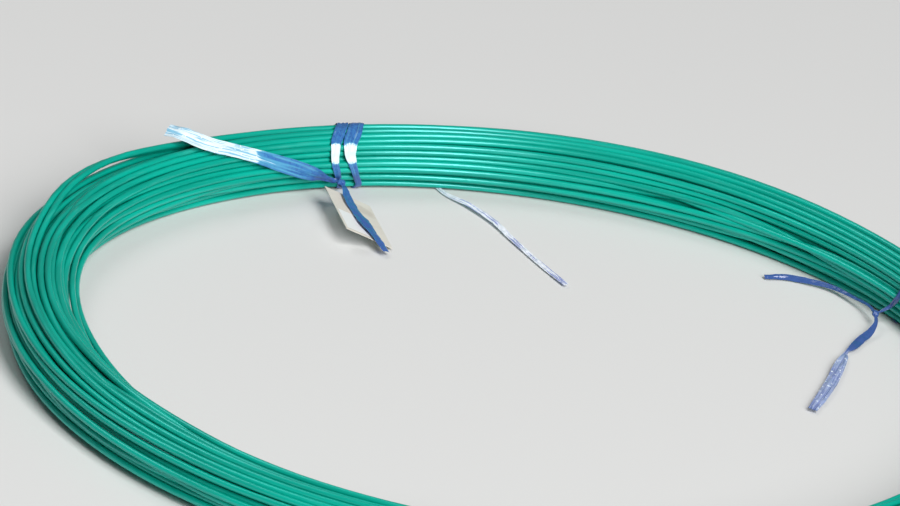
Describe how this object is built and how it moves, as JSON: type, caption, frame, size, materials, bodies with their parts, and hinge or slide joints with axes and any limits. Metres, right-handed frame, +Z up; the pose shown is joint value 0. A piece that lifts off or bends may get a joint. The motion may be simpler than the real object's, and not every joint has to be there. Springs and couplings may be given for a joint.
{
  "type": "coil of plastic-coated wire",
  "caption": "Flat-lying coil of green plastic-coated steel wire, tied with strips of blue film, with a blank card tag.",
  "frame": {"origin": "on the floor, on the coil's axis", "axes": "+Z up along the coil's axis; +X to the right and +Y away, as the coil is seen in its picture"},
  "size_m": [0.7903, 0.7904, 0.0536],
  "materials": {
    "wire_coating": "satin",
    "film": "gloss",
    "card": "matte"
  },
  "bodies": {
    "root": {"wire_coil": "wire_coating", "back_film_tie": "film", "right_film_tie": "film", "trapped_film_strip": "film", "card_tag": "card"}
  },
  "joints": []
}
